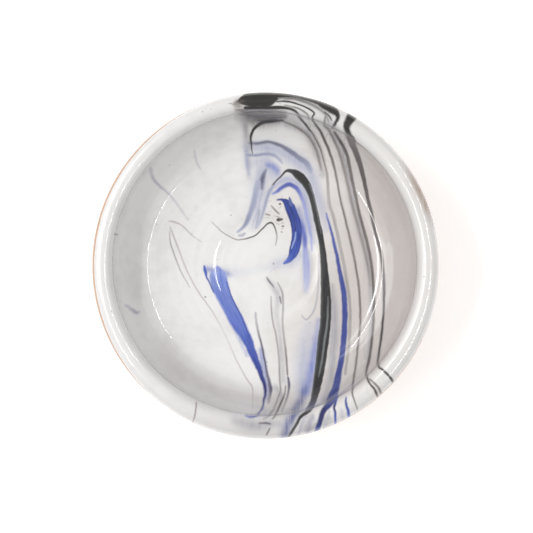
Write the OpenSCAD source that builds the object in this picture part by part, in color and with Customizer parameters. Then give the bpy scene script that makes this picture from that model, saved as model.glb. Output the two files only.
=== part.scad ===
// Ring dish: a small thrown dish of tan clay with marbled slips, glazed.
// The origin is the middle of the table under the foot ring, +Z is up and +Y is the far lip.
// Inside and on the lip the glaze has fused into the slips, so their top is the finished surface.
// Every coat lies at a depth under that surface, and the profiles take this depth.

/* [Dish] */
// Diameter over the lip
dish_d = 100; // [95:1:130]
// Height from the table to the top of the lip
dish_h = 28; // [26:0.5:45]
// Height of the finished floor over the table
floor_h = 8.5; // [7.5:0.1:10.5]
// Thickness of the wall
wall_t = 4.5; // [3.5:0.1:4.9]
// Radius of the curve from the floor to the wall
wall_curve = 14; // [8:0.5:16]

/* [Lip] */
// Width of the rolled lip
lip_w = 6; // [5.6:0.1:8.5]

/* [Well] */
// Diameter of the flat middle of the floor
well_d = 27; // [12:1:36]
// Depth of the middle under the rest of the floor
well_depth = 0.7; // [0.2:0.1:1.5]
// Width of the soft step around the middle
well_step_w = 4.5; // [2:0.5:7]

/* [Foot] */
// Diameter over the foot ring
foot_d = 54; // [40:1:58]
// Width of the foot ring
foot_w = 4; // [2.5:0.1:6]
// Height of the hollow inside the foot ring
foot_hollow_h = 3; // [1.5:0.1:4]
// Bevel on both edges of the foot ring
foot_bevel = 0.6; // [0.2:0.1:1]

/* [Coats] */
// Thickness of the white slip with its glaze
slip_t = 0.9; // [0.6:0.05:1]
// Depth to which the coloured slips are let into the white one
vein_depth = 0.5; // [0.2:0.05:0.55]
// Thickness of the clear glaze on the outside
glaze_t = 0.3; // [0.1:0.05:0.5]
// Angle below the widest point of the lip at which the slip ends
slip_edge = 20; // [5:1:30]
// Height of the lower edge of the glaze over the table
glaze_line_h = 7; // [6:0.5:12]

/* [Veins] */
// Width of the great black vein
black_vein_w = 3.2; // [2:0.1:4]
// Width of the black pool on the lip
rim_pool_w = 4.6; // [3:0.1:5.5]
// Width of the cobalt hook
cobalt_hook_w = 3.1; // [2:0.1:3.5]
// Width of the blue arch
blue_arch_w = 1.2; // [0.6:0.1:1.5]
// Width of the left blue vein
left_blue_w = 4.5; // [3:0.1:5]
// Width of the right blue vein
right_blue_w = 1.8; // [1:0.1:2.2]
// Width of the grey veins
grey_vein_w = 1.2; // [0.6:0.1:1.5]
// Width of the blue-grey wisps
wisp_w = 1.6; // [0.8:0.1:1.8]
// Width of the hairlines
hairline_w = 0.5; // [0.3:0.05:0.8]

/* [Hidden] */
$fn = 144;

// Sizes that follow from the lip and the wall
lip_r = lip_w / 2;
lip_x = dish_d / 2 - lip_r;
lip_z = dish_h - lip_r;
curve_x = dish_d / 2 - lip_w - wall_curve;
curve_z = floor_h + wall_curve;
well_r = well_d / 2;
foot_r = foot_d / 2;
foot_in_r = foot_r - foot_w;
// Clay radius of the outside curve and of the core of the lip
out_curve = wall_curve + wall_t;
core_r = lip_r - slip_t;
// Steps of the round stretches, in degrees, and of the soft step
arc_step = 10;
well_steps = 6;
// Share of a step under which two angles count as one
same_angle = 0.01;
// Cut that runs clear past a surface
clear_cut = 0.2;
// The veins are drawn on a dish of this diameter and spread with the real one
drawn_d = 100;
spread = dish_d / drawn_d;
// Straight pieces between two points of a vein
vein_steps = 2;

function reversed(pts) = [for (i = [len(pts) - 1:-1:0]) pts[i]];

// Points on an arc in the half plane of the profile, from one angle to another. Between the two they
// lie at whole steps, so two coats that share an arc share its corners.
function arc(x, z, r, from, to) =
    let (low = min(from, to),
        high = max(from, to),
        first = ceil(low / arc_step + same_angle),
        last = ceil(high / arc_step - same_angle) - 1,
        whole = [for (i = [first:last]) i * arc_step],
        turns = concat([low], whole, [high]))
    [for (a = from < to ? turns : reversed(turns)) [x + r * cos(a), z + r * sin(a)]];

// Height of the finished floor at a step of the way across the soft step
function step_z(t) = floor_h - well_depth * (1 + cos(180 * t)) / 2;

// Inside of the dish at a depth under the finished surface, from the middle to the top of the wall
function inside(depth) = concat(
    [[0, step_z(0) - depth]],
    [for (i = [0:well_steps]) let (t = i / well_steps) [well_r + well_step_w * t, step_z(t) - depth]],
    arc(curve_x, curve_z, wall_curve + depth, -90, 0));

// Rolled lip at a depth, from the inside over the top to an angle below its widest point
function lip(depth, below) = arc(lip_x, lip_z, lip_r - depth, 180, -below);

// Where the outside of the wall, with a curve of radius r, runs into a lip of radius b, as the
// angle on the curve and the angle on the lip. Over the curve the wall goes straight up.
function neck(r, b) =
    let (v = [lip_x - curve_x, lip_z - curve_z],
        d = norm(v),
        turn = atan2(v[1], v[0]) - acos(min(1, (d * d + r * r - b * b) / (2 * d * r))))
    turn < 0
        ? [turn, atan2(r * sin(turn) - v[1], r * cos(turn) - v[0])]
        : [0, -acos((r - v[0]) / b)];

// A coat between two depths, over the inside and the lip
module coat(top, bottom, below = slip_edge) {
    rotate_extrude()
        polygon(concat(inside(bottom), lip(bottom, below), reversed(lip(top, below)), reversed(inside(top))));
}

// Smooth curve through points [x, y, share of the vein's width]
function blend(a, b, c, d, t) =
    0.5 * (2 * b + (c - a) * t + (2 * a - 5 * b + 4 * c - d) * t * t + (3 * b - a - 3 * c + d) * t * t * t);
function smooth(pts) = concat(
    [for (i = [0:len(pts) - 2], k = [0:vein_steps - 1])
        blend(pts[max(i - 1, 0)], pts[i], pts[i + 1], pts[min(i + 2, len(pts) - 1)], k / vein_steps)],
    [pts[len(pts) - 1]]);

// Edge of a vein, at a side of 1 or -1
function edge(line, w, side) =
    [for (i = [0:len(line) - 1])
        let (a = line[max(i - 1, 0)], b = line[min(i + 1, len(line) - 1)],
            d = [b[0] - a[0], b[1] - a[1]], half = side * line[i][2] * w / 2)
        [line[i][0] * spread - d[1] / norm(d) * half, line[i][1] * spread + d[0] / norm(d) * half]];

// One vein as an upright wall, cut later to the depth of the slip
module vein(pts, w) {
    line = smooth(pts);
    linear_extrude(dish_h + clear_cut)
        polygon(concat(edge(line, w, 1), reversed(edge(line, w, -1))));
}

// Plan of each vein, as points [x, y, share of width] in mm on the drawn dish
black_path = [[2.2, 24, 0.08], [4, 26, 0.12], [5.6, 27.8, 0.2], [7.4, 27.9, 0.4], [9.5, 27, 0.75],
    [11.8, 24.6, 0.75], [13.3, 21.4, 0.55], [14.6, 16.5, 0.5], [16, 10, 0.53], [17, 4, 0.56],
    [17.6, -4, 0.75], [17.9, -11, 0.97], [17.7, -17, 1], [17.1, -22, 1], [16.4, -28, 0.94],
    [15.6, -33, 0.8], [14.5, -38, 0.6], [12.5, -41.5, 0.38], [10, -43.6, 0.28], [8.4, -46, 0.25],
    [6.5, -49.5, 0.3], [5.6, -51.5, 0.3]];
pool_path = [[-7.6, 47.4, 0.35], [-5, 48, 0.9], [-2, 48.2, 1], [1, 48.2, 1], [3.5, 49, 0.75],
    [7, 49.4, 0.6], [12, 48.4, 0.55], [16, 47, 0.6], [19.5, 45.3, 0.75], [21, 43.4, 0.5],
    [19.9, 41.5, 0.25], [19.4, 40.4, 0.15]];
pool_smear = [[-7.5, 45.1, 0.2], [-4, 44.6, 0.4], [0, 44.2, 0.55], [3, 44, 0.55], [5.4, 43.6, 0.3]];
pool_curl = [[5.6, 42.6, 0.08], [2.5, 42.5, 0.2], [0, 42.3, 0.25], [-2.4, 41.3, 0.25], [-3.8, 39.7, 0.2],
    [-4.3, 37.8, 0.18], [-4.3, 35.8, 0.15], [-4.1, 34, 0.06]];
pool_line = [[4, 46.6, 0.1], [8, 46.6, 0.12], [11, 45.6, 0.12], [13.4, 44.3, 0.12], [13.6, 42.9, 0.1]];
pool_blot = [[26.4, 45, 0.75], [24.6, 42.4, 0.65], [23.2, 40.2, 0.5], [23.6, 38.4, 0.35],
    [24.4, 36.9, 0.2]];
hook_path = [[3.4, 19.5, 0.1], [4.6, 19.5, 0.22], [5.8, 18.9, 0.45], [6.7, 18, 0.9], [7.5, 16.6, 1],
    [8.3, 14.6, 0.95], [9, 12.6, 0.95], [9.3, 10.5, 0.95], [9.2, 8.2, 0.9], [8.8, 5.8, 0.95],
    [8.2, 3.6, 0.8], [7.4, 1.9, 0.6], [6.2, 0.7, 0.3], [4.8, 0.3, 0.1]];
hook_spur = [[6.9, 20.3, 0.15], [7.3, 19, 0.4], [7.8, 17.6, 0.4], [8.2, 16, 0.2]];
arch_path = [[2, 21.2, 0.25], [3.2, 21.9, 0.7], [4.6, 22.9, 0.9], [5.9, 23.8, 1], [7, 24.1, 1],
    [8.2, 23.7, 1], [9.3, 22.6, 1], [10, 20.6, 1], [10.7, 17.8, 0.8], [11.4, 15.4, 0.65],
    [12.2, 13, 0.55], [13, 10.4, 0.5], [13.5, 7.6, 0.45], [13.8, 4.6, 0.2]];
arch_stripe = [[10.7, 13.4, 0.3], [11.3, 11.4, 0.7], [11.6, 9.2, 0.8], [11.6, 7, 0.8], [11.7, 4.5, 1],
    [12, 1, 1.3], [12.2, -2, 1.4], [12.2, -5, 1.2], [11.9, -7.4, 0.4]];
left_blue_path = [[-14.4, -1.4, 0.8], [-14.2, -3, 1], [-13.8, -5, 1], [-13, -7.8, 0.98],
    [-11.9, -10, 0.93], [-10.8, -12, 0.92], [-9.6, -14, 0.95], [-8.3, -16, 0.96], [-7.2, -18, 0.85],
    [-6.1, -20, 0.76], [-4.4, -24, 0.62], [-2.9, -28, 0.5], [-1.3, -32, 0.32], [-0.5, -34.5, 0.28],
    [-0.1, -36.5, 0.22], [-0.2, -38.5, 0.17], [-0.8, -40.5, 0.13], [-1.3, -42, 0.14], [-2.4, -43.1, 0.13],
    [-4.5, -43.4, 0.06]];
left_blue_tip = [[-18.1, 0, 0.06], [-18, -1.2, 0.2], [-17.8, -2.4, 0.2], [-17.6, -3.6, 0.05]];
right_blue_path = [[17.9, 15.6, 0.12], [18.7, 12.7, 0.28], [19.6, 9.5, 0.33], [20.4, 6.3, 0.38],
    [21.1, 3, 0.45], [21.7, -0.5, 0.52], [22.4, -4, 0.65], [23, -7.5, 0.82], [23.4, -11, 0.85],
    [23.5, -15, 0.83], [23.4, -19, 0.87], [22.9, -24, 0.92], [22.3, -28.5, 0.97], [21.4, -32.8, 1],
    [20.4, -36, 1.1], [19, -38.8, 0.95], [17.4, -40.8, 0.7], [16.3, -42.4, 0.85], [15.7, -44.6, 0.75],
    [15, -47, 0.7], [14.2, -50, 0.7]];
right_blue_fork = [[20.7, -37.2, 0.4], [20.1, -39, 0.4], [19.7, -40.6, 0.42], [19.9, -43, 0.38],
    [20.1, -46, 0.35], [20.2, -48.5, 0.3]];
right_blue_streak = [[23.2, -37.9, 0.15], [23, -39.2, 0.35], [23.4, -41, 0.4], [23.9, -43.5, 0.5],
    [24.4, -46.5, 0.5]];
// Grey veins of the right side, from the inner one outwards
grey_a = [[6.5, 42.2, 0.3], [9.5, 40.6, 0.5], [12.3, 38.4, 0.7], [14.6, 35, 0.8], [16.4, 30.5, 0.9],
    [17.6, 25.5, 0.9], [18.8, 19.5, 0.8], [20.3, 13.5, 0.8], [21.7, 7.5, 0.8], [23, 2, 0.7],
    [24, -4.5, 0.7], [24.9, -11, 0.7], [25.2, -17, 0.7], [24.7, -23, 0.7], [23.9, -28.5, 0.6],
    [23, -34, 0.5], [22.5, -37, 0.2]];
grey_b = [[14.3, 41.5, 0.3], [16, 39.4, 0.6], [18, 35.6, 0.7], [19.5, 31.8, 0.6], [20.6, 27.8, 0.5],
    [21.5, 23, 0.5], [22.5, 18, 0.55], [23.8, 13, 0.55], [25.1, 7.8, 0.55], [26.3, 2, 0.55],
    [27.3, -4, 0.55], [27.9, -10, 0.55], [28.1, -16, 0.55], [27.5, -22, 0.5], [26.8, -28, 0.5],
    [25.7, -33.5, 0.4], [24.9, -36.2, 0.3], [25.4, -38.5, 0.3], [26.4, -41.5, 0.2]];
grey_c = [[19.2, 40.1, 0.5], [20.6, 38.2, 0.9], [22.4, 35.2, 1.2], [23.6, 32, 1.3], [24.5, 28, 1.4],
    [25.3, 23.5, 1.5], [26.5, 18, 1.5], [27.8, 12.5, 1.4], [29.4, 6.5, 1.3], [30.7, 1, 1.2],
    [31.3, -4, 1], [31.5, -10, 0.9], [31.5, -16, 0.9], [31, -22, 0.9], [30.2, -27.5, 0.9],
    [29.4, -31, 0.9], [29.5, -32.6, 0.7], [31, -34.2, 0.8], [32.3, -36.2, 0.9], [33.4, -38.6, 0.9]];
grey_d = [[24.5, 36.8, 0.9], [26, 34, 1.3], [27.4, 30.6, 1.2], [28.6, 26.6, 1], [29.7, 22, 0.9],
    [30.9, 17, 1], [32, 12, 0.85], [33.4, 7, 0.9], [34.5, 2, 0.85], [34.9, -4, 0.8], [34.9, -10, 0.7],
    [34.6, -16, 0.55], [34, -21.5, 0.55], [33.1, -26.5, 0.5], [32.6, -28.8, 0.55], [33.4, -29.8, 0.55],
    [35, -31.2, 0.55], [36.5, -33.2, 0.65], [37.8, -35.4, 0.7]];
// Grey veins between the blue vein and the black one
lower_a = [[1.6, -9, 0.25], [1.7, -12.5, 0.4], [2.2, -17, 0.4], [3.1, -21, 0.4], [3.8, -26, 0.4],
    [4.1, -31, 0.4], [4.3, -35.5, 0.4], [3.8, -38.6, 0.4], [2.6, -41.3, 0.4], [0.8, -43.4, 0.4],
    [-1.6, -44.6, 0.3]];
lower_b = [[3.6, -5, 0.3], [4.6, -7.2, 0.5], [5.2, -10, 0.5], [4.9, -14, 0.45], [5.2, -19, 0.5],
    [5.7, -24, 0.7], [5.9, -29, 0.8], [6.2, -33, 0.9], [6.3, -36.5, 0.9], [5.4, -39.3, 0.8],
    [4.2, -41.6, 0.7], [2.7, -43.6, 0.6], [1.6, -45.4, 0.4], [0.3, -48.3, 0.2]];
lower_c = [[-3, -14.5, 0.3], [-2.7, -18, 0.5], [-1.8, -21.5, 0.5], [-1, -24.5, 0.45], [-0.4, -27.5, 0.45],
    [0.1, -30, 0.5], [0.8, -33, 0.6], [1.5, -35.8, 0.8], [1.4, -38, 0.7], [0.7, -40.8, 0.3]];
// Soft wisps of the top and the left of the middle
wisp_a = [[-6.2, 36.6, 0.3], [-3, 36.1, 0.55], [0.5, 36.5, 0.55], [3.5, 35.8, 0.7], [6.5, 34.2, 0.8],
    [9.5, 32.2, 0.9], [12, 30.3, 0.8], [13.6, 27.4, 0.4]];
wisp_b = [[-5.2, 33, 0.5], [-3, 32.5, 0.7], [0, 32.9, 0.6], [2.4, 32.5, 0.5], [4.2, 31.2, 0.4],
    [5, 30.2, 0.2]];
wisp_c = [[0.2, 28.8, 0.3], [-0.6, 26.8, 0.7], [-1.6, 24.6, 0.9], [-2.8, 22, 1], [-3.7, 18.8, 1],
    [-4.6, 15.6, 0.9], [-5.6, 13, 0.6], [-7, 11, 0.35], [-8.6, 9.8, 0.15]];
wisp_d = [[1.9, 23.4, 0.25], [1, 21.8, 0.45], [0.1, 19.3, 0.55], [-0.5, 16.8, 0.5], [-1.3, 14.2, 0.4],
    [-2.6, 11.4, 0.15]];
// Hair-thin lines on the left, in the middle and across the near lip
hair_a = [[-19.5, 7.6, 0.3], [-23.5, 10.8, 0.8], [-26.2, 12.6, 0.9], [-28.5, 13.3, 0.7]];
hair_b = [[-28.9, 12.6, 0.6], [-27.9, 9.8, 1], [-26.4, 6.2, 0.9], [-24.9, 2.2, 0.8], [-22.8, -2.8, 0.8],
    [-20, -7.9, 0.8], [-16.4, -12.9, 0.7], [-12.4, -18.4, 0.6], [-9.4, -26, 0.5], [-6.9, -31.2, 0.6],
    [-4.4, -35.2, 0.6], [-3.8, -39, 0.5], [-4, -42, 0.3]];
hair_c = [[-9.5, 7.8, 0.4], [-5.2, 8.2, 0.8], [-2.6, 9.4, 1], [-0.2, 11.7, 1], [1.5, 12.8, 1.2],
    [2.7, 11.4, 0.9], [3.3, 8.8, 0.6], [3.2, 6.4, 0.3]];
hair_d = [[-20, -39.2, 0.6], [-19.9, -41, 1], [-20.3, -43, 0.9], [-21.1, -45.2, 0.8], [-22, -47.5, 0.6]];

// Plans of the nodes as upright walls
module black_plan() vein(black_path, black_vein_w);
module pool_plan() {
    for (pts = [pool_path, pool_smear, pool_curl, pool_line, pool_blot]) vein(pts, rim_pool_w);
}
module hook_plan() for (pts = [hook_path, hook_spur]) vein(pts, cobalt_hook_w);
module arch_plan() for (pts = [arch_path, arch_stripe]) vein(pts, blue_arch_w);
module left_blue_plan() for (pts = [left_blue_path, left_blue_tip]) vein(pts, left_blue_w);
module right_blue_plan() {
    for (pts = [right_blue_path, right_blue_fork, right_blue_streak]) vein(pts, right_blue_w);
}
module right_grey_plan() for (pts = [grey_a, grey_b, grey_c, grey_d]) vein(pts, grey_vein_w);
module lower_grey_plan() for (pts = [lower_a, lower_b, lower_c]) vein(pts, grey_vein_w);
module wisp_plan() for (pts = [wisp_a, wisp_b, wisp_c, wisp_d]) vein(pts, wisp_w);
module hair_plan() for (pts = [hair_a, hair_b, hair_c, hair_d]) vein(pts, hairline_w);

// A plan cut to the vein depth. The second child is what was poured before it and keeps its place.
module let_in() {
    difference() {
        intersection() {
            coat(0, vein_depth);
            children(0);
        }
        if ($children > 1) children(1);
    }
}

// Thrown body: floor, wall, core of the lip and turned foot ring
module thrown() {
    joint = neck(out_curve, core_r);
    rotate_extrude()
        polygon(concat(
            inside(slip_t),
            lip(slip_t, -joint[1]),
            arc(curve_x, curve_z, out_curve, joint[0], -90),
            [[foot_r, curve_z - out_curve],
                [foot_r, foot_bevel],
                [foot_r - foot_bevel, 0],
                [foot_in_r + foot_bevel, 0],
                [foot_in_r, foot_bevel],
                [foot_in_r, foot_hollow_h],
                [0, foot_hollow_h]]));
}

module clay_body() color("#c9a27c") thrown();

// White coat over the inside and the lip, with room for the veins let into it
module white_slip() {
    color("#ece9e4")
        difference() {
            coat(0, slip_t);
            intersection() {
                coat(-clear_cut, vein_depth, slip_edge + arc_step);
                all_plans();
            }
        }
}

module all_plans() {
    black_plan();
    pool_plan();
    hook_plan();
    arch_plan();
    left_blue_plan();
    right_blue_plan();
    right_grey_plan();
    lower_grey_plan();
    wisp_plan();
    hair_plan();
}

module black_vein() color("#2b2a2d") let_in() black_plan();
module rim_pool() color("#3b3734") let_in() pool_plan();
module cobalt_hook() color("#2f4796") let_in() hook_plan();
module blue_arch() color("#8f97cc") let_in() arch_plan();
module left_blue_vein() color("#5f77c4") let_in() left_blue_plan();
module right_blue_vein() color("#46559a") let_in() right_blue_plan();

// The grey veins start at the pool that they flow from
module right_grey_veins() {
    color("#8b8380")
        let_in() {
            right_grey_plan();
            pool_plan();
        }
}
module lower_grey_veins() color("#8f898a") let_in() lower_grey_plan();

// The wisps pass under the curl of the pool
module grey_wisps() {
    color("#a9adbf")
        let_in() {
            wisp_plan();
            pool_plan();
        }
}
module clay_hairlines() color("#a08f86") let_in() hair_plan();

// Clear coat on the outside, from the edge of the slip down to a line clear of the foot
module outer_glaze() {
    glaze_out = out_curve + glaze_t;
    joint = neck(glaze_out, core_r + glaze_t);
    line_turn = -asin((curve_z - glaze_line_h) / glaze_out);
    color("#b98e62")
        difference() {
            rotate_extrude()
                polygon(concat(
                    arc(lip_x, lip_z, core_r + glaze_t, -slip_edge, joint[1]),
                    arc(curve_x, curve_z, glaze_out, joint[0], line_turn),
                    arc(curve_x, curve_z, wall_curve + wall_t / 2, line_turn, 0),
                    [[lip_x, lip_z]]));
            thrown();
        }
}

clay_body();
white_slip();
black_vein();
rim_pool();
cobalt_hook();
blue_arch();
left_blue_vein();
right_blue_vein();
right_grey_veins();
lower_grey_veins();
grey_wisps();
clay_hairlines();
outer_glaze();
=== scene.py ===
import math
from types import SimpleNamespace

import bpy
import numpy as np
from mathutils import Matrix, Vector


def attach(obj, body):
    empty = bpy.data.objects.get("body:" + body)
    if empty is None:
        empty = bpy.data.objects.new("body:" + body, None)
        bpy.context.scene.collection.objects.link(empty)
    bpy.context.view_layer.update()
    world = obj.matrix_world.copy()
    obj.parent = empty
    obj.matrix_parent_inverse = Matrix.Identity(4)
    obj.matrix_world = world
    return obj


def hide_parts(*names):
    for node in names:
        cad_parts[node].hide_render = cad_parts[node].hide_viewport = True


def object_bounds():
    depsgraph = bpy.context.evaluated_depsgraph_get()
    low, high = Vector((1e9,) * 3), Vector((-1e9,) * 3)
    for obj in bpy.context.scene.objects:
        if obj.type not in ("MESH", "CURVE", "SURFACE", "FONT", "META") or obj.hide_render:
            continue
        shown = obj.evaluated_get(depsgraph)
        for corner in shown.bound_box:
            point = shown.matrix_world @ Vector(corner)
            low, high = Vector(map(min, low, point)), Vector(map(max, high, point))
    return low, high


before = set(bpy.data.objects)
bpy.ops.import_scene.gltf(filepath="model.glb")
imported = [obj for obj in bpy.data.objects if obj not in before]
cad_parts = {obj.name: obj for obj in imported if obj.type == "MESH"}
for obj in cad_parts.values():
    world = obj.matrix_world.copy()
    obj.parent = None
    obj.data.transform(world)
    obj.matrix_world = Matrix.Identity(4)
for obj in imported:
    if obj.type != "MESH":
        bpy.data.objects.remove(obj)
cad_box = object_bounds()

# Thrown clay body: the floor, the wall, the rolled lip and the foot ring, in tan earthenware.
# It was thrown by hand, so the lip is a little wider on the near right than on the far left, and the
# floor carries faint finger rings. The outside and the foot were turned and are bare of slip.
MM = 0.001
DISH_R = round(cad_box[1][0] / MM, 3)
DISH_H = round(cad_box[1][2] / MM, 3)
LIP_W = 6.0
LIP_SWELL = 0.75
LIP_THIN_SIDE = math.radians(115)
FLOOR_H = 8.5
WELL_R = 13.5
WELL_STEP_W = 4.5
WELL_DEPTH = 0.7
WALL_T = 4.5
WALL_CURVE = 14.0
CURVE_X = DISH_R - LIP_W - WALL_CURVE
CURVE_Z = FLOOR_H + WALL_CURVE
OUT_CURVE = WALL_CURVE + WALL_T
SLIP_T = 0.9
FOOT_TOP = 4.0
FOOT_R = 27.0
FOOT_IN_R = 23.0
FOOT_HOLLOW_H = 3.0
FOOT_BEVEL = 0.6
SECTORS = 480

turn = np.linspace(0, 2 * np.pi, SECTORS, endpoint=False)
lip_w = LIP_W - LIP_SWELL * np.cos(turn - LIP_THIN_SIDE)
lip_r = lip_w / 2

FINGER_RINGS = 0.035
FINE_RINGS = 0.02
RIM_SINK = 0.12
RIM_WOBBLE = 0.1


def thrown(r, z):
    """The soft rings and the slow wobble of a dish thrown by hand, added to a surface."""
    rings = FINGER_RINGS * np.sin(r * 2.1 + 0.5 * np.sin(turn)) + FINE_RINGS * np.sin(r * 4.3 + 1.0 + turn)
    on_floor = np.clip((r - 5) / 6, 0, 1) * np.clip((46 - r) / 4, 0, 1)
    towards_rim = np.clip((r - 20) / 25, 0, 1)
    return r, z + rings * on_floor + (RIM_WOBBLE * np.sin(2 * turn + 0.6) - RIM_SINK) * towards_rim


STRAIGHT_RINGS = 6
LIP_LENGTH = 10.5


def inside_rings(depth, spacing, lip_angle):
    """Rings of (radius, height) at a depth under the inside, from the middle to an angle on the lip."""
    rings = []
    for r in np.linspace(0, CURVE_X, round(CURVE_X / spacing), endpoint=False)[1:]:
        share = np.clip((r - WELL_R) / WELL_STEP_W, 0, 1)
        z = FLOOR_H - WELL_DEPTH * (1 + math.cos(math.pi * share)) / 2 - depth
        rings.append((r + 0 * turn, z + 0 * turn))
    curve = WALL_CURVE + depth
    for a in np.linspace(-math.pi / 2, 0, round(curve * math.pi / 2 / spacing), endpoint=False):
        lip_shift = (LIP_W - lip_w) * math.cos(a) ** 2
        rings.append((CURVE_X + curve * math.cos(a) + lip_shift, CURVE_Z + curve * math.sin(a) + 0 * turn))
    for share in np.linspace(0, 1, STRAIGHT_RINGS, endpoint=False):
        rings.append((DISH_R - lip_w + depth, CURVE_Z + (DISH_H - lip_r - CURVE_Z) * share))
    for a in np.linspace(math.pi, lip_angle, round(LIP_LENGTH / spacing)):
        round_lip = lip_r - depth
        rings.append((DISH_R - lip_r + round_lip * np.cos(a), DISH_H - lip_r + round_lip * np.sin(a)))
    return [thrown(r, z) for r, z in rings]


LIP_RINGS = 10
CURVE_RINGS = 34
TURNED_LINES = 0.04


def outside_rings(height, lip_angle, stop_z):
    """Rings at a height over the clay's outside, from an angle on the lip down the wall to a level."""
    round_lip = lip_r - SLIP_T + height
    curve = OUT_CURVE + height
    joint = -np.arccos(np.clip((CURVE_X + curve - (DISH_R - lip_r)) / round_lip, -1, 1))
    rings = []
    for share in np.linspace(0, 1, LIP_RINGS):
        a = lip_angle + (joint - lip_angle) * share
        rings.append((DISH_R - lip_r + round_lip * np.cos(a), DISH_H - lip_r + round_lip * np.sin(a)))
    joint_z = rings[-1][1]
    for share in (0.34, 0.67):
        rings.append((CURVE_X + curve + 0 * turn, joint_z + (CURVE_Z - joint_z) * share))
    for a in np.linspace(0, math.asin(max(-1.0, (stop_z - CURVE_Z) / curve)), CURVE_RINGS):
        x = CURVE_X + curve * math.cos(a)
        z = CURVE_Z + curve * math.sin(a)
        turned = TURNED_LINES * (math.sin(z * 2.6) - 1)
        rings.append((x + turned + 0.05 * np.sin(2 * turn + z / 9), z + 0 * turn))
    return rings


def revolved(name, rings, looped=False):
    """A mesh of rings of (radius, height) in millimetres. Looped, its last ring joins the first one.
    Otherwise each of the two is filled, round a point in its middle."""
    points = np.vstack([np.column_stack([r * np.cos(turn), r * np.sin(turn), z]) for r, z in rings]) * MM
    here = np.arange(SECTORS)
    beside = (here + 1) % SECTORS
    faces = []
    for j in range(len(rings) if looped else len(rings) - 1):
        a = j * SECTORS
        b = (j + 1) % len(rings) * SECTORS
        faces += np.column_stack([a + here, a + beside, b + beside, b + here]).tolist()
    if not looped:
        for start, first, second in ((0, beside, here), ((len(rings) - 1) * SECTORS, here, beside)):
            middle = np.full(SECTORS, len(points))
            faces += np.column_stack([middle, start + first, start + second]).tolist()
            points = np.vstack([points, points[start:start + SECTORS].mean(axis=0)])
    mesh = bpy.data.meshes.new(name)
    mesh.from_pydata(points.tolist(), [], faces)
    mesh.polygons.foreach_set("use_smooth", np.ones(len(faces), dtype=bool))
    mesh.update()
    piece = bpy.data.objects.new(name, mesh)
    bpy.context.collection.objects.link(piece)
    return piece


foot = [(FOOT_R + 1.2, FOOT_TOP + 0.02), (FOOT_R + 0.35, 3.7), (FOOT_R, 3.1), (FOOT_R, 2.0),
        (FOOT_R, FOOT_BEVEL), (FOOT_R - 0.2, 0.2), (FOOT_R - FOOT_BEVEL, 0.02), (FOOT_IN_R + 1.5, 0.0),
        (FOOT_IN_R + FOOT_BEVEL, 0.02), (FOOT_IN_R + 0.2, 0.2), (FOOT_IN_R, FOOT_BEVEL), (FOOT_IN_R, 2.0),
        (FOOT_IN_R - 0.25, FOOT_HOLLOW_H - 0.3), (FOOT_IN_R - 0.9, FOOT_HOLLOW_H)]
hollow = [(r, FOOT_HOLLOW_H + 0.05 * math.sin(r * 2.2)) for r in np.linspace(FOOT_IN_R - 2, 0.4, 44)]
CLAY_RINGS_APART = 2.0
UNDER_SLIP = SLIP_T + 0.02
HIDDEN_SEAM = math.radians(60)
core = inside_rings(UNDER_SLIP, CLAY_RINGS_APART, HIDDEN_SEAM)[:-1]
outside = outside_rings(0.0, HIDDEN_SEAM, FOOT_TOP)
turned_foot = [(r + 0 * turn, z + 0 * turn) for r, z in foot + hollow]
body = revolved("clay_body_thrown", core + outside + turned_foot)


class Wire:
    """A socket in a material's node tree, for maths on the value that it carries."""

    def __init__(self, tree, socket=None):
        self.tree = tree
        self.socket = socket

    def node(self, kind, settings=None, inputs=None, output=0):
        """One of a new node's outputs. Its settings are set first, then its sockets, linked or filled."""
        made = self.tree.nodes.new("ShaderNode" + kind)
        for name, value in (settings or {}).items():
            if name == "stops":
                elements = made.color_ramp.elements
                while len(elements) < len(value):
                    elements.new(0.5)
                for element, (position, colour) in zip(elements, value):
                    element.position = position
                    element.color = colour
            else:
                setattr(made, name, value)
        for name, value in (inputs or {}).items():
            if isinstance(value, Wire):
                self.tree.links.new(value.socket, made.inputs[name])
            else:
                made.inputs[name].default_value = value
        return Wire(self.tree, made.outputs[output])

    def maths(self, operation, a, b=0.0):
        return self.node("Math", {"operation": operation}, {0: a, 1: b})

    def __add__(self, other):
        return self.maths("ADD", self, other)

    def __sub__(self, other):
        return self.maths("SUBTRACT", self, other)

    def __rsub__(self, other):
        return self.maths("SUBTRACT", other, self)

    def __mul__(self, other):
        return self.maths("MULTIPLY", self, other)

    def __truediv__(self, other):
        return self.maths("DIVIDE", self, other)

    def __rtruediv__(self, other):
        return self.maths("DIVIDE", other, self)

    def __abs__(self):
        return self.maths("ABSOLUTE", self)

    __radd__ = __add__
    __rmul__ = __mul__

    def at_least(self, low):
        return self.maths("MAXIMUM", self, low)

    def rise(self, low, high):
        """0 under low, 1 over high and smooth between them."""
        return self.node("MapRange", {"interpolation_type": "SMOOTHSTEP"}, {0: self, 1: low, 2: high})

    def ramp(self, stops):
        """A colour for this value, from stops of (value, colour)."""
        return self.node("ValToRGB", {"stops": stops}, {0: self})

    def coated(self, colour, factor):
        """This colour with another one, a wire or a plain one, laid over it by a factor."""
        return self.node("Mix", {"data_type": "RGBA"}, {0: factor, 6: self, 7: colour}, 2)

    def along(self, axis):
        """One of the three numbers of this vector."""
        return self.node("SeparateXYZ", {}, {0: self}, axis)

    def grain(self, scale, detail, distortion=0.0, roughness=0.5):
        """Noise between 0 and 1 over this place."""
        return self.node("TexNoise", {}, {"Vector": self, "Scale": scale, "Detail": detail,
                                          "Distortion": distortion, "Roughness": roughness})


def shade(red, green, blue):
    """A colour as the eye reads it on a screen, 0 to 255, turned into light."""
    light = []
    for value in (red, green, blue):
        value /= 255
        light.append(value / 12.92 if value < 0.04045 else ((value + 0.055) / 1.055) ** 2.4)
    return (*light, 1.0)


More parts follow.
